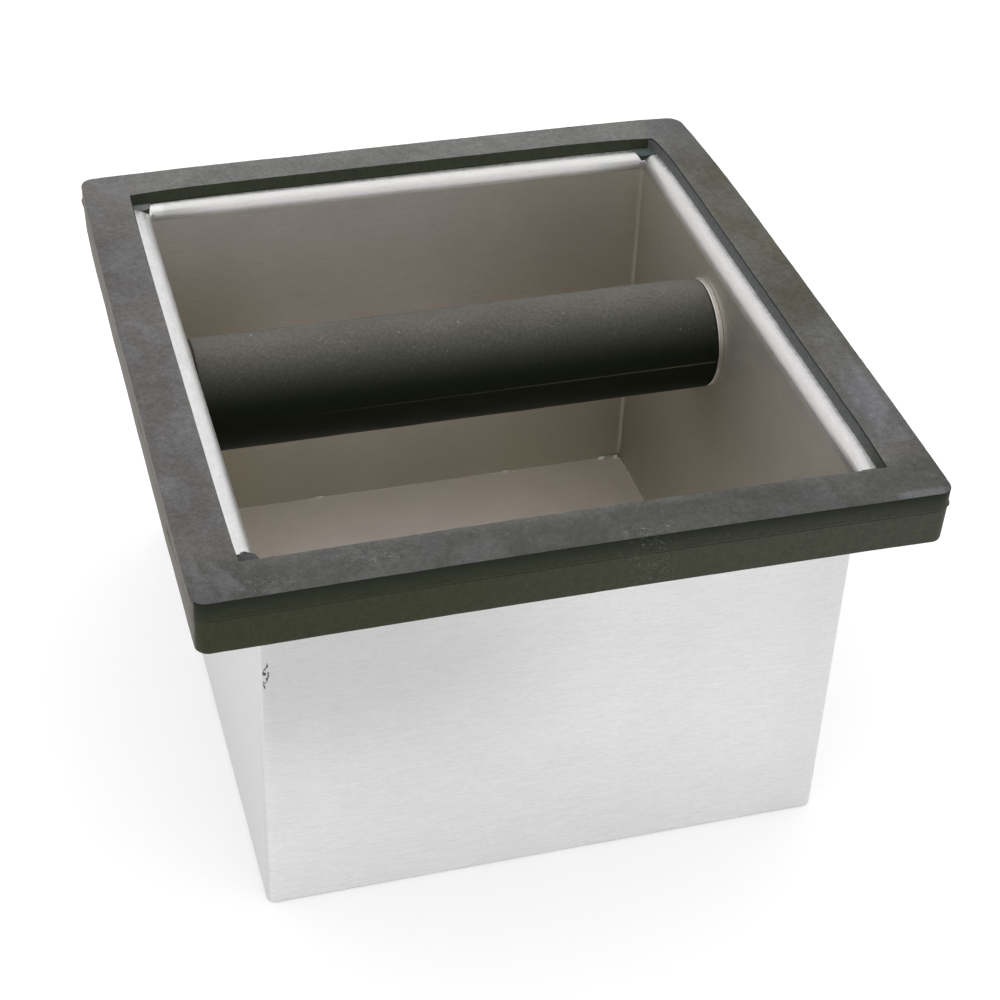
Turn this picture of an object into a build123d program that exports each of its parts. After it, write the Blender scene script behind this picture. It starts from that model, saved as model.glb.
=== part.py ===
from build123d import *
import os

os.makedirs("parts", exist_ok=True)

# Espresso knock box: an open steel pan with a rubber frame round its rim and a padded bar across it.
# Millimetres, +Z up, +X to the right, +Y to the back. Origin: centre of the pan's underside.

# ---------------------------------------------------------------- driving dimensions

# steel pan, folded from sheet
PAN_WIDTH = 139.7
PAN_DEPTH = 153.6
RIM_HEIGHT = 104.3
SHEET = 1.0
CORNER_RADIUS = 2.2
BOTTOM_ROUND = 0.7
BEND_RADIUS = 2.6
END_BEND_RADIUS = 1.8
BEND_TAPER_LENGTH = 9.0
WALL_TOP_MARGIN = 1.0
FLANGE_REACH = 9.4
CORNER_TOP = 102.6
NOTCH_TIP_X = 69.2
NOTCH_TIP_FRONT_LEFT_Y = 72.6
NOTCH_TIP_FRONT_RIGHT_Y = 74.8
NOTCH_TIP_BACK_Y = 76.2
NOTCH_LEAN = 0.45
RELIEF_RADIUS = 2.0
RELIEF_OFFSET = (1.4, 1.0)
FLOOR_SHEET = 1.6

# welds
SEAM_WIDTH = 1.0
FLOOR_BEAD_RADIUS = 1.2
CORNER_BEAD_LENGTH = 7.0
TACK_LENGTH = 3.0
TACK_SPOTS = (-0.36, 0.32)

# rubber frame, which grips the flange in a groove
FRAME_WIDTH = 171.0
FRAME_DEPTH = 182.6
FRAME_TOP = 107.4
FRAME_BOTTOM = 93.3
PARTING_HEIGHT = 102.9
FRAME_CORNER_RADIUS = 3.4
FRAME_TOP_ROUND = 0.3
FRAME_BOTTOM_ROUND = 0.6
FRAME_DRAFT_DEGREES = 1.8
MOULD_STEP = 0.1
FLASH_PROUD = 0.25
FLASH_HEIGHT = 0.4
LIP_WIDTH = 147.8
LIP_DEPTH = 159.2
LIP_SHIFT_BACK = 1.2
LIP_BOW = 0.6
LIP_LEAN = 0.65
LIP_CORNER_RADIUS = 0.5
RUBBER_GAP = 0.25
LUG_TOP = 104.2

# knock bar
BAR_Y = 20.8
BAR_Z = 81.4
SLEEVE_DIAMETER = 28.9
CORE_DIAMETER = 16.0
SLEEVE_CLEARANCE = 0.06
SLEEVE_END_GAP = 0.15
SLEEVE_EDGE_ROUND = 0.5
SLEEVE_RIB_WIDTH = 0.4
SLEEVE_RIB_HEIGHT = 0.15
DISC_DIAMETER = 28.6
DISC_THICKNESS = 1.5

# M6 fasteners
SCREW_RADIUS = 2.95
SCREW_HOLE_RADIUS = 3.2
TAPPED_RADIUS = 3.0
TAPPED_DEPTH = 16.0
SCREW_LENGTH = 16.0
HEAD_RADIUS = 5.25
HEAD_HEIGHT = 3.3
HEX_ACROSS_FLATS = 4.0
HEX_DEPTH = 2.0
WASHER_RADIUS = 6.0
WASHER_THICKNESS = 1.6
LOCK_WASHER_RADIUS = 5.4
LOCK_WASHER_THICKNESS = 1.5
LOCK_WASHER_SPLIT = 0.8

# ---------------------------------------------------------------- worked-out sizes

inner_width = PAN_WIDTH - 2 * SHEET
inner_depth = PAN_DEPTH - 2 * SHEET
flange_end = SHEET + FLANGE_REACH
flange_underside = RIM_HEIGHT - SHEET
band_top = flange_underside - BEND_RADIUS - WALL_TOP_MARGIN
wall_inside_x = inner_width / 2
wall_outside_x = PAN_WIDTH / 2
disc_inside_x = wall_inside_x - DISC_THICKNESS
hole_width = PAN_WIDTH + 2 * RUBBER_GAP
hole_depth = PAN_DEPTH + 2 * RUBBER_GAP
hole_radius = CORNER_RADIUS + RUBBER_GAP

# each side of the pan: its turn about Z, the reach of its inner face, and half its inner run
pan_sides = [
    (0, inner_width / 2, inner_depth / 2),
    (90, inner_depth / 2, inner_width / 2),
    (180, inner_width / 2, inner_depth / 2),
    (270, inner_depth / 2, inner_width / 2),
]

nodes = {}


def prism(width, depth, low, high, radius=0.0):
    """An upright block centred on the origin's vertical, with rounded vertical edges."""
    outline = RectangleRounded(width, depth, radius) if radius else Rectangle(width, depth)
    return Pos(0, 0, low) * extrude(outline, high - low)


def along_x(shape):
    """Turns a shape built on Z so that its axis lies along +X."""
    return Rot(0, 90, 0) * shape


def disc_x(radius, start, end):
    """A cylinder along X on the bar's axis, from x = start to x = end."""
    return Pos((start + end) / 2, BAR_Y, BAR_Z) * along_x(Cylinder(radius, end - start))


def on_side(shape, side):
    """Mirrors a right-hand piece to the left when side is -1."""
    return shape if side > 0 else mirror(shape, Plane.YZ)


# ---------------------------------------------------------------- steel pan

def rim_profile(radius):
    """The rim's cross-section on XZ: wall, bend of this inner radius, and flange. Inner wall face on x = 0."""
    centre_x = SHEET + radius
    centre_z = flange_underside - radius
    edges = [
        Line((0, band_top), (0, centre_z)),
        CenterArc((centre_x, centre_z), radius + SHEET, 90, 90),
        Line((centre_x, RIM_HEIGHT), (flange_end, RIM_HEIGHT)),
        Line((flange_end, RIM_HEIGHT), (flange_end, flange_underside)),
        Line((flange_end, flange_underside), (centre_x, flange_underside)),
        CenterArc((centre_x, centre_z), radius, 90, 90),
        Line((SHEET, centre_z), (SHEET, band_top)),
        Line((SHEET, band_top), (0, band_top)),
    ]
    return Plane.XZ * make_face(edges)


def flange_strip(length):
    """One straight stretch of rim along Y, whose bend tightens towards both ends."""
    full = rim_profile(BEND_RADIUS)
    tight = rim_profile(END_BEND_RADIUS)
    half_middle = length / 2 - BEND_TAPER_LENGTH
    strip = Pos(0, half_middle, 0) * extrude(full, 2 * half_middle)
    for end in (-1, 1):
        strip += loft([Pos(0, end * half_middle, 0) * full, Pos(0, end * length / 2, 0) * tight])
    return strip


def notches(gap, low, high):
    """The cuts between the flange strips at the four rim corners, each side moved outward by gap.

    In plan each is a wedge with its tip over the pan's corner; the left-hand ones also have a punched round relief.
    """
    cuts = []
    for side, end, tip_y in (
        (-1, -1, NOTCH_TIP_FRONT_LEFT_Y),
        (1, -1, NOTCH_TIP_FRONT_RIGHT_Y),
        (-1, 1, NOTCH_TIP_BACK_Y),
        (1, 1, NOTCH_TIP_BACK_Y),
    ):
        near_x, near_y = NOTCH_TIP_X + gap, tip_y + gap
        far_x, far_y = FRAME_WIDTH / 2, FRAME_DEPTH / 2
        lean_x = near_x - NOTCH_LEAN * (far_y - near_y)
        corners = [(near_x, near_y), (far_x, near_y), (far_x, far_y), (lean_x, far_y)]
        outline = make_face(Polyline(*[(side * x, end * y) for x, y in corners], close=True))
        if side < 0:
            relief_x, relief_y = NOTCH_TIP_X + RELIEF_OFFSET[0], tip_y + RELIEF_OFFSET[1]
            outline += Pos(side * relief_x, end * relief_y) * Circle(RELIEF_RADIUS - gap)
        cuts.append(extrude(Pos(0, 0, low) * outline, high - low, dir=(0, 0, 1)))
    return cuts


def pan_corners(low, high):
    """The walls' four rounded corners, without the straight stretches between them."""
    ring = prism(PAN_WIDTH, PAN_DEPTH, low, high, CORNER_RADIUS)
    ring -= prism(inner_width, inner_depth, low, high, CORNER_RADIUS - SHEET)
    return ring & corner_blocks(low, high)


def corner_blocks(low, high):
    """Four square columns that hold everything beyond the straight stretches of the walls."""
    columns = prism(2 * PAN_WIDTH, 2 * PAN_DEPTH, low, high)
    columns -= prism(2 * PAN_WIDTH, PAN_DEPTH - 2 * CORNER_RADIUS, low, high)
    return columns - prism(PAN_WIDTH - 2 * CORNER_RADIUS, 2 * PAN_DEPTH, low, high)


def wall_band():
    """The four upright walls with their rim, and the screw holes for the bar."""
    band = prism(PAN_WIDTH, PAN_DEPTH, 0, band_top, CORNER_RADIUS)
    band = fillet(band.faces().sort_by(Axis.Z)[0].edges(), BOTTOM_ROUND)
    band -= prism(inner_width, inner_depth, -1, band_top + 1, CORNER_RADIUS - SHEET)
    rim = Part()
    for turn, reach, half_run in pan_sides:
        strip = flange_strip(2 * half_run + SHEET)
        rim += Rot(0, 0, turn) * (Pos(reach, 0, 0) * strip)
    rim -= corner_blocks(band_top, CORNER_TOP)
    for cut in notches(0, CORNER_TOP, RIM_HEIGHT + 1):
        rim -= cut
    return band + rim + pan_corners(band_top, CORNER_TOP) - disc_x(SCREW_HOLE_RADIUS, -PAN_WIDTH, PAN_WIDTH)


def seam_wedge():
    """The narrow stretch of the front left corner where the folded band is closed by a weld."""
    block = Box(8, SEAM_WIDTH, band_top, align=(Align.CENTER, Align.CENTER, Align.MIN))
    reach = CORNER_RADIUS
    return Pos(-PAN_WIDTH / 2 + reach, -PAN_DEPTH / 2 + reach, 0) * (Rot(0, 0, 45) * (Pos(-4, 0, 0) * block))


band = wall_band()
seam = seam_wedge()
nodes["corner_seam_weld"] = band & seam
nodes["pan_walls"] = band - seam
nodes["pan_floor"] = prism(inner_width, inner_depth, 0, FLOOR_SHEET, CORNER_RADIUS - SHEET)


def floor_bead(length):
    """A quarter-round weld bead in the corner between floor and wall, running along Y, wall face on x = 0."""
    rod = Rot(90, 0, 0) * Cylinder(FLOOR_BEAD_RADIUS, length)
    corner = Box(20, length * 2, 20, align=(Align.MAX, Align.CENTER, Align.MIN))
    return Pos(0, 0, FLOOR_SHEET) * (rod & corner)


def floor_welds():
    """Beads in the floor's corners and short tacks along its edges, as separate solids."""
    beads = []
    for turn, reach, half_run in pan_sides:
        clear_of_corner = half_run - 2 * FLOOR_BEAD_RADIUS - CORNER_BEAD_LENGTH / 2
        spots = [(spot * half_run, TACK_LENGTH) for spot in TACK_SPOTS]
        spots.append((clear_of_corner, CORNER_BEAD_LENGTH))
        for along, length in spots:
            beads.append(Rot(0, 0, turn) * (Pos(reach, along, 0) * floor_bead(length)))
    return beads


nodes["floor_welds"] = Compound(children=floor_welds())


# ---------------------------------------------------------------- rubber frame

def frame_outside():
    """The frame's outer form: upper and lower mould halves meeting at the parting line, with its flash."""
    upper = prism(FRAME_WIDTH, FRAME_DEPTH, PARTING_HEIGHT, FRAME_TOP, FRAME_CORNER_RADIUS)
    upper = fillet(upper.faces().sort_by(Axis.Z)[-1].edges(), FRAME_TOP_ROUND)
    step = 2 * MOULD_STEP
    outline = RectangleRounded(FRAME_WIDTH - step, FRAME_DEPTH - step, FRAME_CORNER_RADIUS)
    lower = extrude(outline, FRAME_BOTTOM - PARTING_HEIGHT, taper=FRAME_DRAFT_DEGREES)
    lower = Pos(0, 0, PARTING_HEIGHT) * lower
    lower = fillet(lower.faces().sort_by(Axis.Z)[0].edges(), FRAME_BOTTOM_ROUND)
    flash = prism(
        FRAME_WIDTH + 2 * FLASH_PROUD,
        FRAME_DEPTH + 2 * FLASH_PROUD,
        PARTING_HEIGHT - FLASH_HEIGHT / 2,
        PARTING_HEIGHT + FLASH_HEIGHT / 2,
        FRAME_CORNER_RADIUS + FLASH_PROUD,
    )
    return upper + lower + flash


def corner_lugs():
    """Four lugs, one in each corner, that fill the notches between the flange strips."""
    return Part() + notches(RUBBER_GAP, CORNER_TOP + RUBBER_GAP, LUG_TOP)


def mouth_outline(inset):
    """The lip's opening: four sides that bow slightly outward between lightly rounded corners."""
    half_width = LIP_WIDTH / 2 - inset
    half_depth = LIP_DEPTH / 2 - inset
    corner_x = half_width - LIP_BOW
    corner_y = half_depth - LIP_BOW
    sides = [
        ThreePointArc((corner_x, -corner_y), (half_width, 0), (corner_x, corner_y)),
        ThreePointArc((corner_x, corner_y), (0, half_depth), (-corner_x, corner_y)),
        ThreePointArc((-corner_x, corner_y), (-half_width, 0), (-corner_x, -corner_y)),
        ThreePointArc((-corner_x, -corner_y), (0, -half_depth), (corner_x, -corner_y)),
    ]
    outline = make_face(sides)
    return fillet(outline.vertices(), LIP_CORNER_RADIUS)


def mouth():
    """The space inside the lip, whose walls lean outward towards the top."""
    top = Pos(0, LIP_SHIFT_BACK, FRAME_TOP) * mouth_outline(0)
    foot = Pos(0, LIP_SHIFT_BACK, RIM_HEIGHT) * mouth_outline(LIP_LEAN)
    return loft([foot, top]) + extrude(top, 1)


def rubber_frame():
    """The whole frame: a thick ring under the flange, a groove for the flange, and a lip over it."""
    outside = frame_outside()
    spread = BEND_RADIUS + RUBBER_GAP
    wall_hole = prism(hole_width, hole_depth, FRAME_BOTTOM - 1, flange_underside, hole_radius)
    flare_top = RectangleRounded(hole_width + 2 * spread, hole_depth + 2 * spread, hole_radius + spread)
    flare = loft([
        Pos(0, 0, flange_underside - spread) * RectangleRounded(hole_width, hole_depth, hole_radius),
        Pos(0, 0, flange_underside) * flare_top,
    ])
    groove_reach = 2 * (flange_end + RUBBER_GAP)
    groove = prism(inner_width + groove_reach, inner_depth + groove_reach, flange_underside, RIM_HEIGHT)
    ring = outside - (wall_hole + flare + groove + mouth())
    return ring + (corner_lugs() & outside)


nodes["rubber_frame"] = rubber_frame()


# ---------------------------------------------------------------- knock bar

def bar_core():
    """Steel rod between the end discs, tapped at both ends."""
    rod = disc_x(CORE_DIAMETER / 2, -disc_inside_x, disc_inside_x)
    for side in (-1, 1):
        rod -= on_side(disc_x(TAPPED_RADIUS, disc_inside_x - TAPPED_DEPTH, disc_inside_x + 1), side)
    return rod


def bar_sleeve():
    """Rubber tube that turns on the rod, with two fine mould ribs along it."""
    half_length = disc_inside_x - SLEEVE_END_GAP
    tube = disc_x(SLEEVE_DIAMETER / 2, -half_length, half_length)
    tube = fillet(tube.edges(), SLEEVE_EDGE_ROUND)
    rib_reach = SLEEVE_DIAMETER / 2 + SLEEVE_RIB_HEIGHT
    rib = Box(2 * (half_length - SLEEVE_EDGE_ROUND), 2 * rib_reach, SLEEVE_RIB_WIDTH)
    tube += Pos(0, BAR_Y, BAR_Z) * rib
    return tube - disc_x(CORE_DIAMETER / 2 + SLEEVE_CLEARANCE, -half_length - 1, half_length + 1)


def end_disc():
    """Flat steel disc between the sleeve and the pan's wall, clamped by the screw."""
    disc = disc_x(DISC_DIAMETER / 2, disc_inside_x, wall_inside_x)
    disc = fillet(disc.edges(), 0.3)
    return disc - disc_x(SCREW_HOLE_RADIUS, disc_inside_x - 1, wall_inside_x + 1)


def washer(radius, start, thickness):
    """A plain ring on the screw, with its inner face at x = start."""
    ring = disc_x(radius, start, start + thickness)
    return ring - disc_x(SCREW_HOLE_RADIUS, start - 1, start + thickness + 1)


def lock_washer(start):
    """A split spring washer: a ring with a slanted cut."""
    ring = washer(LOCK_WASHER_RADIUS, start, LOCK_WASHER_THICKNESS)
    cut = Rot(30, 0, 0) * Box(LOCK_WASHER_THICKNESS * 3, LOCK_WASHER_SPLIT, LOCK_WASHER_RADIUS * 2)
    return ring - Pos(start, BAR_Y, BAR_Z - LOCK_WASHER_RADIUS) * cut


def screw(start):
    """A button-head socket screw with its head's underside at x = start."""
    head = disc_x(HEAD_RADIUS, start, start + HEAD_HEIGHT)
    head = fillet(head.edges().sort_by(Axis.X)[-1], HEAD_HEIGHT * 0.7)
    shank = disc_x(SCREW_RADIUS, start - SCREW_LENGTH, start)
    shank = chamfer(shank.edges().sort_by(Axis.X)[0], 0.5)
    hexagon = RegularPolygon(HEX_ACROSS_FLATS / 2, 6, major_radius=False)
    socket = Pos(start + HEAD_HEIGHT - HEX_DEPTH, BAR_Y, BAR_Z) * along_x(extrude(hexagon, HEX_DEPTH + 1))
    return head + shank - socket


nodes["bar_core"] = bar_core()
nodes["bar_sleeve"] = bar_sleeve()
washer_face = wall_outside_x + WASHER_THICKNESS
head_face = washer_face + LOCK_WASHER_THICKNESS
for name, side in (("left", -1), ("right", 1)):
    nodes[f"end_disc_{name}"] = on_side(end_disc(), side)
    nodes[f"washer_{name}"] = on_side(washer(WASHER_RADIUS, wall_outside_x, WASHER_THICKNESS), side)
    nodes[f"lock_washer_{name}"] = on_side(lock_washer(washer_face), side)
    nodes[f"bar_screw_{name}"] = on_side(screw(head_face), side)

for name, shape in nodes.items():
    export_step(shape, f"parts/{name}.step")
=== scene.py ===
import math
import random

import bmesh
import bpy
from mathutils import Matrix, Vector, noise


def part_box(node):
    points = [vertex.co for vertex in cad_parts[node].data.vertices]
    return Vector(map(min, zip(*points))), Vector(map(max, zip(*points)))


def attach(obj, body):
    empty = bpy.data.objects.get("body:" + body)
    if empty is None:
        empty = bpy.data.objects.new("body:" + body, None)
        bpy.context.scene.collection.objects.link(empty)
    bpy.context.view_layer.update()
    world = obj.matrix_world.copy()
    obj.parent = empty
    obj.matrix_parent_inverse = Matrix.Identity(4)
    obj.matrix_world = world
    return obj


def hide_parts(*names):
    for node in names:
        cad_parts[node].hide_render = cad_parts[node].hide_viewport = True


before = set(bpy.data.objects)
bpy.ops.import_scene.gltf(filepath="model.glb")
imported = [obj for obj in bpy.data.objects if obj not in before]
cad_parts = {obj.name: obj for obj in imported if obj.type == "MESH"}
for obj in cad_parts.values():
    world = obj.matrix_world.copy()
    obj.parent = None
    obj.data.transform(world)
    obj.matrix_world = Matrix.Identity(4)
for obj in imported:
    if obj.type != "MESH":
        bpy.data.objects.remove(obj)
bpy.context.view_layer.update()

# ---------------------------------------------------------------- measures taken from the frame, in metres

MM = 0.001
floor_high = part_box("pan_floor")[1]
disc_low, disc_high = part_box("end_disc_right")

SHEET = 1.0 * MM
inner_x = floor_high.x
inner_y = floor_high.y
outer_x = inner_x + SHEET
outer_y = inner_y + SHEET
floor_top = floor_high.z
bar_y = (disc_low.y + disc_high.y) / 2
bar_z = (disc_low.z + disc_high.z) / 2


# ---------------------------------------------------------------- material tools

NOISE_SPAN = (0.3, 0.7)


class Surface:
    """One procedural material: a Principled shader and the nodes that feed it."""

    def __init__(self, name, metallic=0.0, **sockets):
        self.material = bpy.data.materials.new(name)
        self.material.use_nodes = True
        self.nodes = self.material.node_tree.nodes
        self.links = self.material.node_tree.links
        self.shader = self.nodes["Principled BSDF"]
        self.shader.inputs["Metallic"].default_value = metallic
        for socket, value in sockets.items():
            self.shader.inputs[socket.replace("_", " ")].default_value = value
        self.place = self.add("ShaderNodeTexCoord").outputs["Object"]
        apart = self.add("ShaderNodeSeparateXYZ", {"Vector": self.place})
        self.x, self.y, self.z = (apart.outputs[axis] for axis in "XYZ")
        self.abs_x, self.abs_y = self.math("ABSOLUTE", self.x), self.math("ABSOLUTE", self.y)

    def add(self, kind, inputs=None, **settings):
        """A new node with these settings, whose inputs are fed by sockets or set to values."""
        node = self.nodes.new(kind)
        for key, value in settings.items():
            setattr(node, key, value)
        for key, value in (inputs or {}).items():
            self.feed(node.inputs[key], value)
        return node

    def feed(self, socket, value):
        """Links a socket to this input, or sets its value."""
        if isinstance(value, bpy.types.NodeSocket):
            self.links.new(value, socket)
        else:
            socket.default_value = value

    def math(self, operation, a, b=0.0, c=0.0):
        return self.add("ShaderNodeMath", {0: a, 1: b, 2: c}, operation=operation).outputs[0]

    def step(self, value, low, high, start=0.0, end=1.0):
        """Goes smoothly from start to end as value goes from low to high."""
        ends = {"Value": value, "From Min": low, "From Max": high, "To Min": start, "To Max": end}
        return self.add("ShaderNodeMapRange", ends, interpolation_type="SMOOTHSTEP").outputs["Result"]

    def ramp(self, value, low, high, start=0.0, end=1.0):
        """The same for a place along an axis, with low and high in millimetres."""
        return self.step(value, low * MM, high * MM, start, end)

    def spread(self, value, start=0.0, end=1.0):
        """Goes from start to end over the middle span of a noise, where most of its values lie."""
        return self.step(value, *NOISE_SPAN, start, end)

    def band(self, value, low, high, soft_low, soft_high):
        """1 from low to high, fading out over the soft widths beyond them, all in millimetres."""
        rising = self.ramp(value, low - soft_low, low)
        return self.product(rising, self.ramp(value, high, high + soft_high, 1, 0))

    def gain(self, colour, mask, factor):
        """The colour, made lighter or darker by this factor where the mask is 1."""
        return self.tone(colour, self.step(mask, 0, 1, 1.0, factor))

    def product(self, *factors):
        total = factors[0]
        for factor in factors[1:]:
            total = self.math("MULTIPLY", total, factor)
        return total

    def largest(self, *values):
        total = values[0]
        for value in values[1:]:
            total = self.math("MAXIMUM", total, value)
        return total

    def upward(self):
        """1 on faces that look up, 0 on upright ones."""
        normal = self.add("ShaderNodeNewGeometry").outputs["Normal"]
        return self.step(self.add("ShaderNodeSeparateXYZ", {"Vector": normal}).outputs["Z"], 0.5, 0.85)

    def noise(self, size, stretch=(1, 1, 1), detail=3.0, rough=0.5, shift=0.0, twist=0.0):
        """Noise whose features are about this size in metres, drawn out along each axis by stretch."""
        spread = [1 / (size * s) for s in stretch]
        away = (shift, 0.7 * shift, 0.3 * shift)
        moved = self.add("ShaderNodeMapping", {"Vector": self.place, "Scale": spread, "Location": away})
        values = {"Vector": moved.outputs[0], "Scale": 1.0, "Detail": detail}
        values.update({"Roughness": rough, "Distortion": twist})
        return self.add("ShaderNodeTexNoise", values).outputs["Fac"]

    def mix(self, factor, a, b):
        """Colour a where the factor is 0 and colour b where it is 1."""
        node = self.add("ShaderNodeMix", data_type="RGBA")
        for socket, value in ((node.inputs[0], factor), (node.inputs[6], a), (node.inputs[7], b)):
            self.feed(socket, value)
        return node.outputs[2]

    def tone(self, colour, factor):
        """The colour made lighter or darker by a factor."""
        node = self.add("ShaderNodeMix", data_type="RGBA", blend_type="MULTIPLY")
        gray = self.add("ShaderNodeCombineXYZ", {"X": factor, "Y": factor, "Z": factor}).outputs[0]
        for socket, value in ((node.inputs[0], 1.0), (node.inputs[6], colour), (node.inputs[7], gray)):
            self.feed(socket, value)
        return node.outputs[2]

    def finish(self, colour, roughness, height=None, depth=0.0):
        """Feeds the shader; height is a bump of this depth in metres."""
        self.feed(self.shader.inputs["Base Color"], colour)
        self.feed(self.shader.inputs["Roughness"], roughness)
        if height is not None:
            bump = self.add("ShaderNodeBump", {"Height": height, "Distance": depth, "Strength": 1.0})
            self.links.new(bump.outputs["Normal"], self.shader.inputs["Normal"])
        return self.material


def rgb(red, green, blue):
    return (red, green, blue, 1.0)


# ---------------------------------------------------------------- materials

def pan_steel():
    """Folded stainless sheet: fine horizontal brushing outside, a duller skin inside, with painted shade and
    highlights.
    """
    s = Surface("pan_steel", metallic=1.0)
    past_x = s.math("SUBTRACT", s.abs_x, outer_x)
    past_y = s.math("SUBTRACT", s.abs_y, outer_y)
    past = s.largest(past_x, past_y)
    outside = s.ramp(past, -0.95, -0.85)
    fresh = s.largest(outside, s.ramp(s.z, 100.0, 102.8))
    long_marks = s.noise(0.28 * MM, stretch=(20, 20, 1), detail=2)
    short_marks = s.noise(0.22 * MM, stretch=(7, 7, 1), detail=1, shift=3)
    grain = s.math("ADD", s.product(long_marks, 0.5), s.product(short_marks, 0.5))
    cloud = s.spread(s.noise(22 * MM, detail=5, rough=0.6, shift=8))
    left_face = s.step(s.x, -outer_x + 0.3 * MM, -outer_x + 0.9 * MM, 1, 0)
    front = s.step(s.y, -outer_y + 0.3 * MM, -outer_y + 0.9 * MM, 1, 0)
    outer = s.mix(cloud, rgb(0.726, 0.723, 0.722), rgb(0.742, 0.740, 0.741))
    outer = s.mix(s.ramp(s.z, 101.0, 101.9), outer, rgb(0.698, 0.689, 0.684))
    # painted shade: the outer left face is darker than the front
    outer = s.mix(left_face, outer, rgb(0.655, 0.650, 0.648))
    # painted shade: the inside walls are darker and yellower towards the floor
    low = s.mix(cloud, rgb(0.405, 0.400, 0.330), rgb(0.435, 0.425, 0.350))
    high = s.mix(cloud, rgb(0.625, 0.602, 0.565), rgb(0.660, 0.637, 0.600))
    inner = s.mix(s.ramp(s.z, 2, 50), low, high)
    # painted shade: the right inside wall and the lower left inside are darker and yellower
    shaded_right_wall = s.product(s.ramp(s.x, 5, 45), s.ramp(s.y, -50, 10), 0.40)
    shaded_low_left = s.product(s.ramp(s.x, -62, -30, 1, 0), s.ramp(s.z, 60, 92, 1, 0), 0.80)
    inner = s.mix(s.largest(shaded_right_wall, shaded_low_left), inner, rgb(0.475, 0.455, 0.355))
    colour = s.tone(s.mix(fresh, inner, outer), s.spread(grain, 0.92, 1.06))
    # painted highlight: the flange's flat next to the rubber and the left bend are lightened
    lit_left_bend = s.product(s.ramp(s.x, -66, -64, 1, 0), s.ramp(s.z, 100.9, 102.0), 0.65)
    painted_highlight = s.largest(s.ramp(past, 1.8, 3.0), lit_left_bend)
    colour = s.gain(colour, painted_highlight, 1.26)
    # painted shadow: a dark line along the bottom edge where the pan meets the floor
    colour = s.tone(colour, s.ramp(s.z, 0.3, 0.6, 0.72, 1.0))
    # painted shade on the outer front face: darker high up, just under the frame, towards the upper left and
    # at the right edge
    upper = s.product(s.ramp(s.z, 35, 75), 0.08)
    under_frame = s.product(s.ramp(s.z, 82, 93), 0.05)
    upper_left = s.product(s.ramp(s.z, 15, 72), s.ramp(s.x, -40, 15, 1, 0), 0.17)
    right_edge = s.product(s.ramp(s.x, 48, 66), 0.05)
    shade = s.math("ADD", s.math("ADD", upper, under_frame), s.math("ADD", upper_left, right_edge))
    colour = s.tone(colour, s.math("SUBTRACT", 1.0, s.product(outside, front, shade)))
    # painted shade: the lower half of each bend is darker near its ends, apart from the left bend
    to_corner = s.math("MINIMUM", s.math("DIVIDE", s.abs_x, inner_x), s.math("DIVIDE", s.abs_y, inner_y))
    not_left = s.ramp(s.x, -68.6, -68.0)
    shaded_bend_end = s.product(s.step(to_corner, 0.65, 0.98), s.band(s.z, 101.0, 102.7, 1.0, 0.7), not_left)
    colour = s.gain(colour, shaded_bend_end, 0.72)
    pits = corner_pits(s)
    colour = s.gain(colour, pits, 0.12)
    rough = s.math("ADD", s.spread(grain, -0.05, 0.05), s.step(outside, 0, 1, 0.58, 0.45))
    height = s.math("SUBTRACT", s.product(grain, 0.06), pits)
    return s.finish(colour, rough, height, 0.15 * MM)


def corner_pits(s):
    """A squiggle of small dark pits in the front left corner's weld, in one short stretch of it."""
    wander = s.spread(s.noise(1.8 * MM, detail=1, shift=7), -0.5 * MM, 0.5 * MM)
    from_seam = s.math("ABSOLUTE", s.math("ADD", s.math("ADD", s.x, outer_x - 1.6 * MM), wander))
    close = s.ramp(from_seam, 0.12, 0.34, 1, 0)
    front = s.step(s.y, -outer_y + 1.2 * MM, -outer_y + 1.6 * MM, 1, 0)
    stretch = s.band(s.z, 69.5, 75.5, 1.5, 1.5)
    spots = s.step(s.noise(0.42 * MM, stretch=(0.8, 1, 1.5), detail=1, shift=4), 0.46, 0.52)
    return s.product(close, front, stretch, spots)


def floor_steel():
    """The pan's floor: dull and slightly pink, with a painted highlight along its edges, and plain steel
    underneath.
    """
    s = Surface("floor_steel", metallic=1.0)
    cloud = s.noise(25 * MM, detail=5, rough=0.6)
    grain = s.noise(0.25 * MM, stretch=(30, 1, 1), detail=2, shift=5)
    colour = s.mix(s.spread(cloud), rgb(0.935, 0.858, 0.818), rgb(0.975, 0.903, 0.858))
    from_edge = s.largest(s.math("SUBTRACT", s.abs_x, inner_x), s.math("SUBTRACT", s.abs_y, inner_y))
    # painted highlight: a light line along the floor's edges
    colour = s.tone(colour, s.ramp(from_edge, -1.0, -0.5, 1.0, 1.05))
    colour = s.mix(s.ramp(s.z, 0.3, 0.6, 1, 0), colour, rgb(0.730, 0.727, 0.725))
    colour = s.tone(colour, s.spread(grain, 0.965, 1.035))
    return s.finish(colour, s.spread(grain, 0.48, 0.58), grain, 0.008 * MM)


def hair_scratches(s, size, shift, width, least):
    """Thin curved lines where noise crosses its middle, in the places where other noise is over least."""
    lines = s.math("ABSOLUTE", s.math("SUBTRACT", s.noise(size, detail=0, shift=shift), 0.5))
    thin = s.step(lines, width / 2, width, 1, 0)
    places = s.step(s.noise(size * 1.3, detail=1, shift=shift + 5), least, least + 0.05)
    return s.math("MULTIPLY", thin, places)


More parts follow.
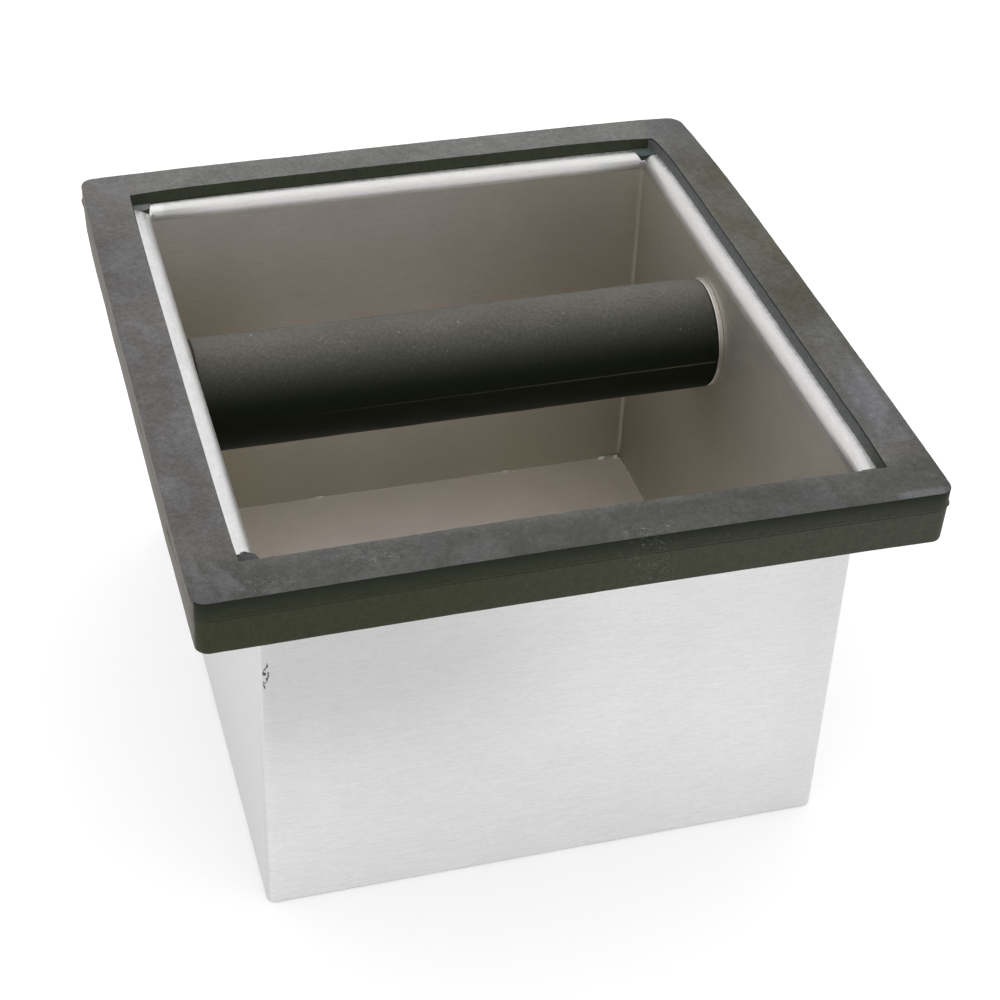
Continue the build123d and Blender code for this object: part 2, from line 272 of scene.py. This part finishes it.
def dust(s, size, share, radius=0.12):
    """Small round specks in a random share of the cells of a grid of this size."""
    scaled = s.add("ShaderNodeVectorMath", {0: s.place, "Scale": 1 / size}, operation="SCALE").outputs[0]
    cells = s.add("ShaderNodeTexVoronoi", {"Vector": scaled, "Scale": 1.0})
    chance = s.add("ShaderNodeSeparateXYZ", {"Vector": cells.outputs["Color"]}).outputs["X"]
    picked = s.step(chance, 1 - share, 1 - share + 0.001)
    return s.math("MULTIPLY", picked, s.step(cells.outputs["Distance"], radius * 0.6, radius, 1, 0))


def near(s, x, y, reach_x, reach_y):
    """A soft-edged spot on the frame's top: 1 at its middle, 0 beyond its reach."""
    off_x = s.math("DIVIDE", s.math("SUBTRACT", s.x, x * MM), reach_x * MM)
    off_y = s.math("DIVIDE", s.math("SUBTRACT", s.y, y * MM), reach_y * MM)
    away = s.math("ADD", s.math("MULTIPLY", off_x, off_x), s.math("MULTIPLY", off_y, off_y))
    return s.step(away, 0.3, 1.0, 1, 0)


def bloom(s):
    """The dusty grey of the frame's upper face, with the places where a hand has wiped it."""
    cloud = s.noise(24 * MM, detail=5, rough=0.6, twist=0.6)
    wiped = s.noise(13 * MM, stretch=(1, 1.5, 1), detail=4, rough=0.5, shift=3, twist=0.8)
    wiped = s.step(wiped, 0.42, 0.60)
    to_front = s.ramp(s.y, -82, -73, 1, 0)
    to_left = s.ramp(s.x, -78, -69, 1, 0)
    to_right = s.ramp(s.x, 69, 77)
    right = s.mix(s.ramp(s.y, -60, -15, 1, 0), rgb(0.086, 0.082, 0.062), rgb(0.108, 0.104, 0.100))
    right = s.mix(s.ramp(s.y, 55, 82), right, rgb(0.112, 0.110, 0.108))
    left = s.mix(s.ramp(s.y, 45, 80), rgb(0.114, 0.1065, 0.102), rgb(0.140, 0.134, 0.131))
    colour = s.mix(to_left, rgb(0.158, 0.156, 0.148), left)
    colour = s.mix(to_right, colour, right)
    colour = s.mix(to_front, colour, rgb(0.073, 0.074, 0.067))
    colour = s.mix(s.product(wiped, s.step(to_left, 0, 1, 0.22, 0.50)), colour, rgb(0.152, 0.154, 0.166))
    streak = s.product(s.band(s.x, 77.2, 82.5, 2.0, 1.5), s.band(s.y, -69.5, -45, 1.0, 40))
    crease = s.product(s.band(s.x, 74, 82, 4, 2), s.band(s.y, -90.4, -89.2, 0.5, 1.6))
    patches = s.largest(s.product(streak, s.step(wiped, 0, 1, 0.35, 0.9)), s.product(crease, 0.6))
    colour = s.mix(patches, colour, rgb(0.155, 0.157, 0.166))
    return s.tone(colour, s.spread(cloud, 0.86, 1.14))


def rubber_marks(s):
    """Pale hairs and specks, bunched in three places on the frame's front strip and rare elsewhere."""
    by_corner = s.product(near(s, -68, -87, 10, 3.5), 0.7)
    bunches = s.largest(near(s, -46, -83, 10, 4.5), near(s, 14, -88, 9, 4), by_corner)
    long_hairs = hair_scratches(s, 1.2 * MM, 1, 0.026, 0.52)
    hairs = s.largest(long_hairs, hair_scratches(s, 0.8 * MM, 9, 0.036, 0.54))
    bunched = s.product(s.largest(hairs, dust(s, 0.9 * MM, 0.16, 0.2)), bunches, 0.42)
    stray = s.largest(hair_scratches(s, 2.2 * MM, 4, 0.012, 0.66), dust(s, 3.0 * MM, 0.12, 0.06))
    return s.largest(bunched, s.product(stray, 0.3))


def moulded_rubber():
    """Charcoal rubber, greenish black where clean, with a cloudy grey bloom on its upper face."""
    s = Surface("moulded_rubber", Specular_IOR_Level=0.2)
    upward = s.upward()
    top = s.product(upward, s.ramp(s.z, 105.5, 106))
    lug = s.product(upward, s.ramp(s.z, 105.5, 106, 1, 0))
    side = s.math("SUBTRACT", 1.0, upward)
    within = s.product(s.ramp(s.abs_x, 76, 76.3, 1, 0), s.ramp(s.abs_y, 84, 84.3, 1, 0))
    lip = s.product(side, within)
    outside = s.product(side, s.math("SUBTRACT", 1.0, within))
    clean = s.mix(s.ramp(s.x, -65, 70), rgb(0.025, 0.028, 0.011), rgb(0.040, 0.042, 0.028))
    colour = s.mix(s.ramp(s.z, 93.5, 94.1, 1, 0), clean, rgb(0.034, 0.024, 0.016))
    # painted shade: the outer faces are darkened just below the overhanging top
    shade_under_rim = s.product(outside, s.ramp(s.z, 103.0, 107.0, 0.35, 1.0), s.ramp(s.z, 102.9, 103.1))
    colour = s.mix(shade_under_rim, colour, rgb(0.004, 0.008, 0.001))
    # painted light: the left side face is lighter and browner, as lit from the left, in uneven streaks
    left_face = s.ramp(s.x, -84.9, -84.5, 1, 0)
    lit_streaks = s.step(s.noise(9 * MM, detail=3, shift=11), 0.35, 0.65, 0.76, 0.90)
    colour = s.mix(s.product(left_face, lit_streaks), colour, rgb(0.140, 0.126, 0.112))
    # painted shadow: a dark line just under the parting line's flash
    flash_shadow = s.product(outside, s.band(s.z, 102.35, 102.75, 0.2, 0.1))
    colour = s.gain(colour, flash_shadow, 0.4)
    colour = s.mix(lip, colour, rgb(0.030, 0.037, 0.021))
    # painted light: the lip's right inner wall is lighter and bluer, as lit from the left
    lit_right_lip = s.product(lip, s.ramp(s.x, 71, 71.5), s.ramp(s.y, -79, -60, 0.3, 1.0))
    colour = s.mix(lit_right_lip, colour, rgb(0.112, 0.120, 0.118))
    # painted shadow: a thin dark line along the top edge of the lip's right wall
    lip_edge_shadow = s.product(lip, s.ramp(s.x, 71, 71.5), s.ramp(s.z, 106.8, 107.1))
    colour = s.mix(s.product(lip_edge_shadow, 0.8), colour, rgb(0.006, 0.007, 0.006))
    lug_left = s.mix(s.ramp(s.y, -1, 1), rgb(0.070, 0.073, 0.074), rgb(0.180, 0.182, 0.185))
    colour = s.mix(lug, colour, s.mix(s.ramp(s.x, -1, 1), lug_left, rgb(0.085, 0.110, 0.112)))
    colour = s.mix(top, colour, bloom(s))
    mottle = s.noise(1.6 * MM, detail=4, rough=0.7, shift=2)
    grit = s.noise(0.5 * MM, detail=2, shift=6)
    grain = s.math("ADD", s.product(mottle, 0.55), s.product(grit, 0.45))
    colour = s.tone(colour, s.step(grain, 0.32, 0.68, 0.76, 1.24))
    marks = rubber_marks(s)
    colour = s.mix(s.product(marks, s.step(top, 0, 1, 0.35, 1)), colour, rgb(0.30, 0.30, 0.29))
    colour = s.mix(s.product(dust(s, 11 * MM, 0.10, 0.022), 0.9), colour, rgb(0.75, 0.72, 0.66))
    rough = s.math("ADD", s.spread(grain, -0.04, 0.04), s.step(top, 0, 1, 0.62, 0.70))
    return s.finish(colour, rough, s.math("ADD", grain, s.product(marks, 0.5)), 0.04 * MM)


def sleeve_rubber():
    """Black rubber on the bar, grey with dust along its upper back and painted lighter there, as lit from the
    upper back, with small pale scuffs.
    """
    s = Surface("sleeve_rubber", Specular_IOR_Level=0.1)
    radius = (disc_high.z - disc_low.z) / 2
    rise, back = s.math("SUBTRACT", s.z, bar_z), s.math("SUBTRACT", s.y, bar_y)
    # painted light: the bar is lighter towards its upper back and dark underneath, as lit from behind and
    # above, over a grey dust
    lit_dusty_side = math.radians(60)
    facing = s.math("ADD", s.product(rise, math.sin(lit_dusty_side)), s.product(back, math.cos(lit_dusty_side)))
    share = s.step(s.math("DIVIDE", facing, radius), -0.32, 1.25)
    cloud = s.noise(16 * MM, stretch=(2, 1, 1), detail=5, rough=0.6)
    speckle = s.noise(0.7 * MM, detail=3, rough=0.7, shift=2)
    share = s.product(share, s.spread(cloud, 0.88, 1.12), s.spread(speckle, 0.80, 1.20))
    colour = s.mix(share, rgb(0.0080, 0.0115, 0.0050), rgb(0.143, 0.137, 0.121))
    scuffs = s.largest(hair_scratches(s, 1.3 * MM, 2, 0.022, 0.66), dust(s, 2.2 * MM, 0.10, 0.09))
    colour = s.mix(s.product(scuffs, share, 0.7), colour, rgb(0.35, 0.35, 0.32))
    off_line = s.math("ABSOLUTE", rise)
    line = s.product(s.ramp(off_line, 0.10, 0.22, 1, 0), s.ramp(s.x, -45, 25, 0.05, 0.9))
    colour = s.mix(s.product(line, s.step(cloud, 0.35, 0.6, 0.4, 1.0)), colour, rgb(0.10, 0.10, 0.06))
    return s.finish(colour, s.spread(cloud, 0.60, 0.70), speckle, 0.03 * MM)


def turned_steel(name, colour, low, high):
    """Turned or plated steel for the small parts, with fine marks round the bar's axis."""
    s = Surface(name, metallic=1.0)
    marks = s.noise(0.25 * MM, stretch=(1, 12, 12), detail=2)
    tint = s.tone(rgb(*colour), s.spread(marks, 0.92, 1.06))
    return s.finish(tint, s.spread(marks, low, high), marks, 0.01 * MM)


def weld_metal():
    """Raw weld: brighter than the sheet, with a lumpy skin."""
    s = Surface("weld_metal", metallic=1.0)
    lumps = s.noise(0.7 * MM, detail=3)
    colour = s.mix(s.step(lumps, 0.35, 0.65), rgb(0.50, 0.48, 0.45), rgb(0.80, 0.79, 0.76))
    return s.finish(colour, s.spread(lumps, 0.35, 0.55), lumps, 0.05 * MM)


def paint(nodes, material):
    """Gives CAD nodes a material."""
    for node in nodes:
        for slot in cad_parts[node].material_slots:
            slot.material = material


steel = pan_steel()
rubber = moulded_rubber()
weld = weld_metal()
paint(["pan_walls", "corner_seam_weld"], steel)
paint(["pan_floor"], floor_steel())
paint(["bar_core"], turned_steel("bar_steel", (0.45, 0.45, 0.44), 0.35, 0.5))
paint(["end_disc_right"], turned_steel("disc_steel", (0.66, 0.63, 0.60), 0.38, 0.5))
# painted shade: the left end disc is given a dark steel colour
paint(["end_disc_left"], turned_steel("shaded_disc_steel", (0.13, 0.125, 0.115), 0.45, 0.6))
kinds = ("bar_screw", "washer", "lock_washer")
fasteners = [f"{kind}_{side}" for kind in kinds for side in ("left", "right")]
paint(fasteners, turned_steel("fastener_steel", (0.62, 0.61, 0.59), 0.25, 0.4))


# ---------------------------------------------------------------- mesh tools

def piece(name, mesh, material, body, replaced):
    """Links a mesh as a piece of the object, on a CAD body, in place of some CAD nodes."""
    for polygon in mesh.polygons:
        polygon.use_smooth = True
    mesh.materials.append(material)
    made = linked(name, mesh)
    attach(made, body)
    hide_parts(*replaced)
    return made


def grid_mesh(name, loops):
    """A closed mesh from loops of points with equal counts, the last of them joined to the first."""
    count = len(loops[0])
    faces = []
    for row in range(len(loops)):
        below, above = row * count, (row + 1) % len(loops) * count
        for k in range(count):
            after = (k + 1) % count
            faces.append((below + k, below + after, above + after, above + k))
    mesh = bpy.data.meshes.new(name)
    mesh.from_pydata([point for loop in loops for point in loop], [], faces)
    return mesh


def mesh_of(bm, name):
    """Turns a bmesh into a mesh whose faces all look outwards, and frees it."""
    bmesh.ops.recalc_face_normals(bm, faces=bm.faces)
    mesh = bpy.data.meshes.new(name)
    bm.to_mesh(mesh)
    bm.free()
    return mesh


def linked(name, data):
    """A new object with this data, in the scene."""
    made = bpy.data.objects.new(name, data)
    bpy.context.scene.collection.objects.link(made)
    return made


# noise_vector takes its offsets from the clock unless the module is seeded
# this seed keeps the frame inside the CAD's box
NOISE_SEED = 10
noise.seed_set(NOISE_SEED)


def wobble(point, size, depth, shift=0.0):
    """A smooth random offset of up to about depth, whose swells are about this size."""
    at = Vector(point) / size + Vector((shift, -shift, 2 * shift))
    return noise.noise_vector(at) * depth


# ---------------------------------------------------------------- rubber frame, in millimetres

SIDE_STEPS = 150
CORNER_STEPS = 10
FRAME_TOP, FRAME_BOTTOM = 107.4, 93.3
# the groove's ceiling and floor, between which the pan's flange lies
FLANGE_TOP, FLANGE_UNDERSIDE = 104.3, 103.3
# how far the hole widens, and how far below the groove it starts to
HOLE_SPREAD = 2.85
# the farthest back that an outline goes, before the wobble moves its points a little
BACK_LIMIT = 91.4
# torn places on the flash: where along X and Y, and how far they reach
FLASH_BUMPS = ((-85, 86, 3.0), (85, -88.5, 2.2), (-85.5, -62, 5.0), (-85.5, -20, 3.0), (85.5, 30, 3.0))
FLASH_WIDEST = 0.25


class Outline:
    """A rounded rectangle in millimetres whose sides bow, as a rubber moulding's do.

    sides gives its left, right, front and back. bows gives for each of them, in that order, how far its two
    ends lie inside its middle and the power of that curve. slope turns the back side, in millimetres per
    millimetre along X.
    """

    def __init__(self, sides, radius, bows=(), slope=0.0):
        self.sides, self.radius, self.slope = sides, radius, slope
        self.bows = bows or ((0, 0, 2),) * 4

    def loop(self, outset, z):
        """Points at this height and this far outside, anticlockwise from the front end of the right side."""
        left, right, front, back = self.sides
        middle_x, middle_y = (left + right) / 2, (front + back) / 2
        half_x, half_y = (right - left) / 2 + outset, (back - front) / 2 + outset
        points = []
        for x, y in rounded_rectangle(half_x, half_y, self.radius + outset):
            u, v = x / half_x, y / half_y
            side = self.bows[1 if u > 0 else 0]
            end = self.bows[3 if v > 0 else 2]
            x -= u * side[v > 0] * abs(v) ** side[2]
            y -= v * end[u > 0] * abs(u) ** end[2]
            y += self.slope * x * max(v, 0)
            points.append([middle_x + x, min(middle_y + y, BACK_LIMIT), z])
        return points


def rounded_rectangle(half_x, half_y, radius):
    """Points round a rectangle on the origin, with the same number on every side and every corner arc."""
    straight_x, straight_y = half_x - radius, half_y - radius
    sides = (
        ((half_x, -straight_y), (half_x, straight_y), (1, 1)),
        ((straight_x, half_y), (-straight_x, half_y), (-1, 1)),
        ((-half_x, straight_y), (-half_x, -straight_y), (-1, -1)),
        ((-straight_x, -half_y), (straight_x, -half_y), (1, -1)),
    )
    for quarter, (start, end, corner) in enumerate(sides):
        for k in range(SIDE_STEPS):
            t = k / SIDE_STEPS
            yield start[0] + (end[0] - start[0]) * t, start[1] + (end[1] - start[1]) * t
        centre_x, centre_y = corner[0] * straight_x, corner[1] * straight_y
        for k in range(CORNER_STEPS):
            angle = math.radians(90 * quarter + 90 * k / CORNER_STEPS)
            yield centre_x + radius * math.cos(angle), centre_y + radius * math.sin(angle)


# the frame's outside, its inner edge at the top, the foot of its lip, the hole for the pan and the groove
OUTER = Outline(
    (-85.5, 85.35, -90.3, 91.25), 3.4,
    ((0.3, 0.45, 4), (0.6, 1.9, 4), (-0.65, -0.65, 2), (0.75, 1.6, 6)), slope=0.011,
)
LIP_TOP = Outline(
    (-73.83, 73.95, -78.15, 80.9), 0.4,
    ((0.45, 0.4, 6), (0.55, 1.6, 10), (-0.75, -0.75, 2), (1.4, 1.7, 8)), slope=0.011,
)
LIP_FOOT = Outline(
    (-73.2, 73.38, -77.5, 79.85), 0.4,
    ((0.4, 0.4, 4), (0.5, 1.2, 8), (-0.75, -0.75, 2), (0.9, 0.6, 6)), slope=0.0114,
)
HOLE = Outline((-70.1, 70.1, -77.05, 77.05), 2.45)
GROOVE = Outline((-79.5, 79.5, -86.45, 86.45), 0.3)


def between(inner, outer, share):
    """The loop that lies this share of the way from the inner loop to the outer one."""
    return [[a + (b - a) * share for a, b in zip(p, q)] for p, q in zip(inner, outer)]


def flash_loop(share, z):
    """A loop on the parting line's flash, which stands out by this share of its torn, uneven width."""
    loop = []
    for p, q in zip(OUTER.loop(0, z), OUTER.loop(1.0, z)):
        width = 0.06 + 0.10 * noise.noise(Vector(p) / 2.3) + 0.06 * noise.noise(Vector(p) / 0.9)
        for bump_x, bump_y, reach in FLASH_BUMPS:
            away = math.hypot(p[0] - bump_x, p[1] - bump_y)
            width += 0.28 * max(0.0, 1 - (away / reach) ** 2)
        width = share * min(max(width, 0), FLASH_WIDEST)
        loop.append([a + (b - a) * width for a, b in zip(p, q)])
    return loop


# the outside's profile as outsets and heights: above the flash, and the rounded bottom edge
UPPER_PROFILE = (
    (-0.07, 107.34), (0, 107.18), (0, 106.8), (-0.04, 106.0), (-0.07, 105.0), (-0.07, 104.2), (-0.02, 103.45),
)
BOTTOM_PROFILE = ((-0.47, 93.55), (-0.65, 93.36), (-0.95, FRAME_BOTTOM))
# the flash's profile as shares of its width and heights
FLASH_PROFILE = ((0.5, 103.12), (1.0, 103.0), (1.0, 102.88), (0.4, 102.76))
# the flat lower part: its upper and lower end, its outset, how far it leans in, and its steps
LOWER_TOP, LOWER_END = 102.3, 93.9
LOWER_OUTSET, LOWER_LEAN = -0.1, 0.3
LOWER_STEPS = 6
TOP_STEPS = 10
UNDER_STEPS = 5


def frame_loops():
    """The loops that roughness may move, from the lip's foot over the top to the bottom, and the rest."""
    foot, top = LIP_FOOT.loop(0, FLANGE_TOP), LIP_TOP.loop(0, FRAME_TOP)
    seen = [between(foot, top, share) for share in (0.0, 0.15, 0.35, 0.6, 0.85, 0.96, 1.0)]
    rim = OUTER.loop(-0.22, FRAME_TOP)
    inner = LIP_TOP.loop(0.12, FRAME_TOP)
    seen += [between(inner, rim, k / TOP_STEPS) for k in range(TOP_STEPS)]
    seen += [rim]
    seen += [OUTER.loop(outset, z) for outset, z in UPPER_PROFILE]
    seen += [flash_loop(share, z) for share, z in FLASH_PROFILE]
    seen += [OUTER.loop(LOWER_OUTSET, 102.6)]
    run = LOWER_TOP - LOWER_END
    for k in range(LOWER_STEPS + 1):
        lean = LOWER_LEAN * k / LOWER_STEPS
        seen += [OUTER.loop(LOWER_OUTSET - lean, LOWER_TOP - run * k / LOWER_STEPS)]
    seen += [OUTER.loop(outset, z) for outset, z in BOTTOM_PROFILE]
    hole_edge = HOLE.loop(0.3, FRAME_BOTTOM)
    hidden = [between(seen[-1], hole_edge, k / UNDER_STEPS) for k in range(1, UNDER_STEPS)]
    hidden += [hole_edge, HOLE.loop(0, FRAME_BOTTOM + 0.3), HOLE.loop(0, FLANGE_UNDERSIDE - HOLE_SPREAD)]
    hidden += [HOLE.loop(HOLE_SPREAD, FLANGE_UNDERSIDE)]
    hidden += [GROOVE.loop(0, FLANGE_UNDERSIDE), GROOVE.loop(0, FLANGE_TOP)]
    return seen, hidden


def rubber_frame():
    """The frame's ring with its four corner lugs joined on."""
    seen, hidden = frame_loops()
    for loop in seen[1:]:
        for point in loop:
            near_rim = 1 - min(abs(point[2] - FRAME_TOP), 1.0)
            swell = wobble(point, 14, 0.08) + wobble(point, 3.0, 0.03, 4)
            swell += wobble(point, 0.8, 0.045 * near_rim, 9)
            point[:] = Vector(point) + swell
            point[2] = min(point[2], FRAME_TOP)
    scaled = [[tuple(c * MM for c in point) for point in loop] for loop in seen + hidden]
    mesh = grid_mesh("frame_moulding", scaled)
    ring = piece("frame_moulding", mesh, rubber, "pan", ["rubber_frame"])
    lugs = corner_lugs()
    union = ring.modifiers.new("lugs", "BOOLEAN")
    union.operation = "UNION"
    union.solver = "EXACT"
    union.object = lugs
    bpy.context.view_layer.objects.active = ring
    bpy.ops.object.modifier_apply(modifier=union.name)
    bpy.data.objects.remove(lugs)


# each lug: its side and end, and how far from the middle its tip starts along X and along Y
LUGS = ((-1, -1, 69.25, 73.4), (1, -1, 69.25, 74.85), (-1, 1, 69.25, 76.25), (1, 1, 67.9, 76.25))
# how far a lug's inner side leans along X for each millimetre along Y, and its corner inside the frame
LUG_LEAN = 0.45
LUG_FAR = (82.0, 88.5)
LUG_LOW, LUG_HIGH = 102.85, 104.36
# the round nose of the left lugs: its radius, where its centre lies from the tip, and the arc it takes
RELIEF_RADIUS = 1.95
RELIEF_OFFSET = (1.4, 1.0)
RELIEF_START, RELIEF_SWEEP = -35, 136
RELIEF_STEPS = 12


def lug_outline(tip_x, tip_y, relief):
    """A lug's plan in one corner: a wedge, with a round nose if relief is true."""
    far_x, far_y = LUG_FAR
    outline = [(far_x, tip_y)]
    if relief:
        for k in range(RELIEF_STEPS + 1):
            angle = math.radians(RELIEF_START - RELIEF_SWEEP * k / RELIEF_STEPS)
            x = tip_x + RELIEF_OFFSET[0] + RELIEF_RADIUS * math.cos(angle)
            outline.append((x, tip_y + RELIEF_OFFSET[1] + RELIEF_RADIUS * math.sin(angle)))
    else:
        outline += [(tip_x + 0.4, tip_y), (tip_x + 0.06, tip_y + 0.12), (tip_x - 0.1, tip_y + 0.5)]
    outline.append((tip_x - LUG_LEAN * (far_y - tip_y), far_y))
    outline.append((far_x, far_y))
    return outline


def corner_lugs():
    """The four lugs as one helper object of closed blocks."""
    bm = bmesh.new()
    for side, end, tip_x, tip_y in LUGS:
        outline = [(side * x, end * y) for x, y in lug_outline(tip_x, tip_y, side < 0)]
        rings = [[bm.verts.new((x * MM, y * MM, z * MM)) for x, y in outline] for z in (LUG_LOW, LUG_HIGH)]
        count = len(outline)
        low, high = rings
        bm.faces.new(low)
        bm.faces.new(high)
        for k in range(count):
            after = (k + 1) % count
            bm.faces.new((low[k], low[after], high[after], high[k]))
    return linked("lugs", mesh_of(bm, "lugs"))


rubber_frame()


# ---------------------------------------------------------------- sleeve, in millimetres

SLEEVE_RADIUS = 14.45
SLEEVE_BORE = 8.06
SLEEVE_HALF = 67.2
SLEEVE_SIDES = 144
SLEEVE_STEPS = 120
# the raised moulding lines: how high they stand and how far they reach to each side
RIB_HEIGHT = 0.12
RIB_REACH = 0.65
# the rounded ends: how far in from the end, and how far under the full radius
END_PROFILE = ((0.0, -0.7), (0.05, -0.35), (0.2, -0.1), (0.55, 0.0))
# how far from each end the raised lines stop
PLAIN_END = 1.0


def sleeve_loop(x, radius, ribs):
    """One ring of the sleeve round the bar, with a raised line at its front and back where ribs is 1."""
    loop = []
    for k in range(SLEEVE_SIDES):
        angle = 2 * math.pi * k / SLEEVE_SIDES
        off_line = abs(math.sin(angle)) * radius
        reach = radius + ribs * RIB_HEIGHT * max(0.0, 1 - off_line / RIB_REACH)
        point = Vector((x, reach * math.cos(angle), reach * math.sin(angle)))
        if radius > SLEEVE_BORE:
            point += wobble(point, 11, 0.07) + wobble(point, 2.5, 0.02, 3)
        loop.append((point.x * MM, bar_y + point.y * MM, bar_z + point.z * MM))
    return loop


def sleeve():
    """The rubber tube that turns on the bar, with softly rounded ends."""
    loops = [sleeve_loop(-SLEEVE_HALF, SLEEVE_BORE, 0)]
    for inset, drop in END_PROFILE:
        loops += [sleeve_loop(-SLEEVE_HALF + inset, SLEEVE_RADIUS + drop, 0)]
    run = SLEEVE_HALF - PLAIN_END
    for k in range(SLEEVE_STEPS + 1):
        loops += [sleeve_loop(-run + 2 * run * k / SLEEVE_STEPS, SLEEVE_RADIUS, 1)]
    for inset, drop in reversed(END_PROFILE):
        loops += [sleeve_loop(SLEEVE_HALF - inset, SLEEVE_RADIUS + drop, 0)]
    loops += [sleeve_loop(SLEEVE_HALF, SLEEVE_BORE, 0)]
    mesh = grid_mesh("sleeve_skin", loops)
    piece("sleeve_skin", mesh, sleeve_rubber(), "sleeve", ["bar_sleeve"])


sleeve()


# ---------------------------------------------------------------- welds on the pan's floor, in millimetres

BEAD_STEP = 0.35
BEAD_SIDES = 10
# tacks along the floor's edges: half their length, their radius, and how far in from the wall
TACK_HALF, TACK_RADIUS, TACK_INSET = 1.6, 0.5, 0.1
CORNER_INSET = 0.15
# how high over the floor the beads' middle lines run
BEAD_RISE = 0.05


def weld_bead(bm, start, end, radius, seed):
    """A lumpy bead from start to end, low and uneven, that tapers into the sheet at both ends."""
    along = Vector(end) - Vector(start)
    steps = max(8, int(along.length / BEAD_STEP))
    turn = along.to_track_quat("X", "Z").to_matrix()
    rows = []
    for k in range(steps + 1):
        t = k / steps
        swell = math.sin(math.pi * min(max(t, 0.03), 0.97)) ** 0.4
        lump = 1 + 0.35 * noise.noise(Vector((t * steps * 0.33, seed, 0)))
        row = []
        for side in range(BEAD_SIDES):
            angle = 2 * math.pi * side / BEAD_SIDES
            thick = radius * swell * lump * (1 + 0.18 * noise.noise(Vector((k * 0.6, side * 0.9, seed))))
            offset = turn @ Vector((0, thick * math.cos(angle), thick * math.sin(angle)))
            row.append(bm.verts.new((Vector(start) + along * t + offset) * MM))
        rows.append(row)
    for a, b in zip(rows, rows[1:]):
        for side in range(BEAD_SIDES):
            after = (side + 1) % BEAD_SIDES
            bm.faces.new((a[side], a[after], b[after], b[side]))
    bm.faces.new(rows[0])
    bm.faces.new(rows[-1])


def floor_welds():
    """Beads in the corners of the floor and tacks along its edges."""
    bm = bmesh.new()
    half_x, half_y = inner_x / MM, inner_y / MM
    low = floor_top / MM + BEAD_RISE
    draw = random.Random(5)

    def bead(start, end, radius):
        weld_bead(bm, (*start, low), (*end, low), radius, draw.random() * 50)

    for side in (-1, 1):
        for end in (-1, 1):
            x, y = side * (half_x - CORNER_INSET), end * (half_y - CORNER_INSET)
            bead((x - side * 1.0, y), (x - side * 7.0, y), 0.75)
            bead((x, y - end * 0.6), (x, y - end * 9.0), 0.5)
            bead((x - side * 0.4, y - end * 0.4), (x - side * 1.9, y - end * 0.3), 0.8)
    for end in (-1, 1):
        y = end * (half_y - TACK_INSET)
        for x in (-24.5, 32.9):
            bead((x - TACK_HALF, y), (x + TACK_HALF, y), TACK_RADIUS)
    for side in (-1, 1):
        x = side * (half_x - TACK_INSET)
        for y in (-27, 24):
            bead((x, y - TACK_HALF), (x, y + TACK_HALF), TACK_RADIUS)
    mesh = mesh_of(bm, "weld_beads")
    piece("weld_beads", mesh, weld, "pan", ["floor_welds"])


floor_welds()


# ---------------------------------------------------------------- floor, light and camera

# metres, watts and degrees
STUDIO_FLOOR_SIZE = 12
STUDIO_FLOOR_GLOW = 0.224
ROOM_BRIGHTNESS = 0.92
SOFTBOX_PLACE = (0.0, 0.25, 1.5)
SOFTBOX_SIZE = (2.2, 2.2)
SOFTBOX_POWER = 5
CAMERA_PLACE = (-0.12798, -0.43455, 0.39647)
CAMERA_AIM = (0.00756, 0, 0.05116)
CAMERA_ROLL = 2.53
# millimetres
SENSOR_WIDTH, LENS = 36, 79.21


def pale_floor():
    """A plain, nearly white floor that glows a little."""
    bpy.ops.mesh.primitive_plane_add(size=STUDIO_FLOOR_SIZE)
    plane = bpy.context.object
    plane.name = "studio_floor"
    material = bpy.data.materials.new("studio_floor")
    material.use_nodes = True
    shader = material.node_tree.nodes["Principled BSDF"]
    shader.inputs["Base Color"].default_value = rgb(0.93, 0.93, 0.93)
    shader.inputs["Roughness"].default_value = 0.9
    shader.inputs["Specular IOR Level"].default_value = 0.1
    shader.inputs["Emission Color"].default_value = rgb(1.0, 1.0, 1.0)
    shader.inputs["Emission Strength"].default_value = STUDIO_FLOOR_GLOW
    plane.data.materials.append(material)


def aimed(place, aim, roll=0.0):
    """The placement of something at place whose -Z looks at aim, rolled about that line in degrees."""
    turn = (Vector(aim) - Vector(place)).to_track_quat("-Z", "Y").to_matrix().to_4x4()
    return Matrix.Translation(place) @ turn @ Matrix.Rotation(math.radians(roll), 4, "Z")


def soft_light(name, place, aim, size, power):
    """A white rectangular lamp at place that shines towards aim."""
    light = bpy.data.lights.new(name, "AREA")
    light.shape = "RECTANGLE"
    light.size, light.size_y = size
    light.energy = power
    lamp = linked(name, light)
    lamp.matrix_world = aimed(place, aim)


def studio():
    """A high, wide softbox over the object and a pale room around it."""
    scene = bpy.context.scene
    scene.view_settings.view_transform = "Standard"
    world = bpy.data.worlds.new("pale_room")
    world.use_nodes = True
    background = world.node_tree.nodes["Background"]
    background.inputs["Color"].default_value = rgb(1.0, 1.0, 1.0)
    background.inputs["Strength"].default_value = ROOM_BRIGHTNESS
    scene.world = world
    soft_light("softbox_top", SOFTBOX_PLACE, (0, 0, 0), SOFTBOX_SIZE, SOFTBOX_POWER)


def camera():
    """A camera in front of the left side, looking down into the pan."""
    data = bpy.data.cameras.new("camera")
    data.sensor_width = SENSOR_WIDTH
    data.lens = LENS
    eye = linked("camera", data)
    eye.matrix_world = aimed(CAMERA_PLACE, CAMERA_AIM, CAMERA_ROLL)
    bpy.context.scene.camera = eye


pale_floor()
studio()
camera()
